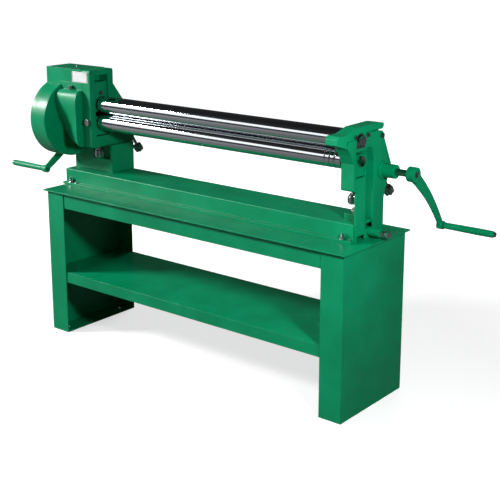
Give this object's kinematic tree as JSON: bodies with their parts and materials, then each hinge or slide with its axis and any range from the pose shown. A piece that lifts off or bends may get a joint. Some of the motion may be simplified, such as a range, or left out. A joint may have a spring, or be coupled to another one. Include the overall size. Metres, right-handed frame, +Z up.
{
  "type": "slip roll machine",
  "caption": "Floor-standing slip roll with geared chrome front rolls, a rear forming roll, a gear housing, a swing-up release gate, hand cranks and a shelved sheet-steel stand.",
  "frame": {"origin": "on the floor under the middle of the stand, at the centre of the anchor holes", "axes": "+X along the rolls towards the release gate, +Y to the rear, +Z up"},
  "size_m": [2.283, 0.5837, 1.203],
  "materials": {
    "green_paint": "semi-gloss green enamel on sheet steel",
    "green_casting": "semi-gloss green enamel over cast iron",
    "chrome_roll": "ground and polished",
    "machined_steel": "turned steel",
    "zinc_plate": "bright zinc plate",
    "bearing_bronze": "machined bronze",
    "white_plate": "bare white enamel"
  },
  "bodies": {
    "stand": {"left_leg": "green_paint", "right_leg": "green_paint", "stand_top": "green_paint", "front_apron": "green_paint", "rear_apron": "green_paint", "shelf": "green_paint", "bed": "green_paint", "bed_bolts": "zinc_plate", "bed_screws": "zinc_plate", "bed_end_bar": "green_paint", "end_bolt": "zinc_plate", "left_frame": "green_casting", "right_frame": "green_casting", "frame_bolts": "machined_steel", "lock_bolt": "machined_steel", "gear_case": "green_casting", "guard_back": "green_paint", "gear_guard": "green_paint", "guard_screws": "zinc_plate", "top_cover": "green_paint", "nameplate": "white_plate", "top_plug": "zinc_plate", "oil_cup": "zinc_plate", "upper_right_saddle": "machined_steel", "left_bushing": "bearing_bronze", "right_bushing": "green_casting", "gate_pin": "machined_steel"},
    "lower_carriage": {"lower_left_block": "green_casting", "lower_right_block": "green_casting"},
    "lower_roll": {"lower_roll": "chrome_roll", "lower_roll_gear": "machined_steel", "bull_gear": "machined_steel"},
    "upper_carriage": {"upper_left_block": "green_casting", "block_bolt": "machined_steel"},
    "upper_roll": {"upper_roll": "chrome_roll", "upper_roll_gear": "machined_steel"},
    "rear_carriage": {"rear_left_block": "green_casting", "rear_right_block": "green_casting"},
    "rear_roll": {"rear_roll": "chrome_roll"},
    "lower_left_adjuster": {"lower_left_screw": "machined_steel", "lower_left_knob": "green_casting"},
    "lower_right_adjuster": {"lower_right_screw": "machined_steel", "lower_right_knob": "green_casting"},
    "rear_left_adjuster": {"rear_left_screw": "machined_steel", "rear_left_knob": "green_casting"},
    "rear_right_adjuster": {"rear_right_screw": "machined_steel", "rear_right_knob": "green_casting"},
    "gate": {"gate": "green_casting", "gate_cap": "machined_steel", "gate_bolts": "machined_steel"},
    "drive": {"drive_shaft": "machined_steel", "drive_pinion": "machined_steel", "left_crank_arm": "green_casting", "right_crank_arm": "green_casting", "left_spindle": "machined_steel", "right_spindle": "machined_steel"},
    "left_grip": {"left_grip": "green_casting"},
    "right_grip": {"right_grip": "green_casting"}
  },
  "joints": [
    {"name": "lower_slide", "type": "slide", "parent": "stand", "child": "lower_carriage", "axis": [0, 0, 1], "range_m": [-0.003, 0]},
    {"name": "lower_roll_spin", "type": "hinge", "parent": "lower_carriage", "child": "lower_roll", "pos_m": [0, -0.042, 0.966], "axis": [1, 0, 0], "continuous": true},
    {"name": "upper_roll_lift", "type": "hinge", "parent": "stand", "child": "upper_carriage", "pos_m": [-0.683, -0.042, 1.043], "axis": [0, -1, 0], "range_deg": [0, 3.5]},
    {"name": "upper_roll_spin", "type": "hinge", "parent": "upper_carriage", "child": "upper_roll", "pos_m": [0, -0.042, 1.043], "axis": [1, 0, 0], "continuous": true},
    {"name": "rear_slide", "type": "slide", "parent": "stand", "child": "rear_carriage", "axis": [0, -0.5446, 0.8387], "range_m": [-0.022, 0.05]},
    {"name": "rear_roll_spin", "type": "hinge", "parent": "rear_carriage", "child": "rear_roll", "pos_m": [0, 0.09, 0.982], "axis": [1, 0, 0], "continuous": true},
    {"name": "lower_left_screw_turn", "type": "hinge", "parent": "lower_carriage", "child": "lower_left_adjuster", "pos_m": [-0.635, -0.042, 0.819], "axis": [0, 0, 1], "range_deg": [-360.5, 0.5]},
    {"name": "lower_right_screw_turn", "type": "hinge", "parent": "lower_carriage", "child": "lower_right_adjuster", "pos_m": [0.7235, -0.042, 0.819], "axis": [0, 0, 1], "range_deg": [-360.5, 0.5]},
    {"name": "rear_left_screw_turn", "type": "hinge", "parent": "rear_carriage", "child": "rear_left_adjuster", "pos_m": [-0.635, 0.09, 0.982], "axis": [0, -0.5446, 0.8387], "range_deg": [-1981, 4501]},
    {"name": "rear_right_screw_turn", "type": "hinge", "parent": "rear_carriage", "child": "rear_right_adjuster", "pos_m": [0.7235, 0.09, 0.982], "axis": [0, -0.5446, 0.8387], "range_deg": [-1981, 4501]},
    {"name": "gate_swing", "type": "hinge", "parent": "stand", "child": "gate", "pos_m": [0.7235, 0.096, 1.043], "axis": [-1, 0, 0], "range_deg": [0, 100]},
    {"name": "drive_spin", "type": "hinge", "parent": "stand", "child": "drive", "pos_m": [0, 0.11105, 0.90847], "axis": [1, 0, 0], "continuous": true},
    {"name": "left_grip_spin", "type": "hinge", "parent": "drive", "child": "left_grip", "pos_m": [-1.04, -0.10465, 0.71764], "axis": [1, 0, 0], "continuous": true},
    {"name": "right_grip_spin", "type": "hinge", "parent": "drive", "child": "right_grip", "pos_m": [1, 0.34027, 0.66692], "axis": [1, 0, 0], "continuous": true}
  ],
  "couplings": [
    {"joint": "upper_roll_spin", "follows": "lower_roll_spin", "ratio": -1},
    {"joint": "drive_spin", "follows": "lower_roll_spin", "ratio": -4},
    {"joint": "gate_swing", "follows": "upper_roll_lift", "ratio": 28.5},
    {"joint": "lower_left_screw_turn", "follows": "lower_slide", "rad_per_m": 2094.4},
    {"joint": "lower_right_screw_turn", "follows": "lower_slide", "rad_per_m": 2094.4},
    {"joint": "rear_left_screw_turn", "follows": "rear_slide", "rad_per_m": 1570.8},
    {"joint": "rear_right_screw_turn", "follows": "rear_slide", "rad_per_m": 1570.8}
  ]
}
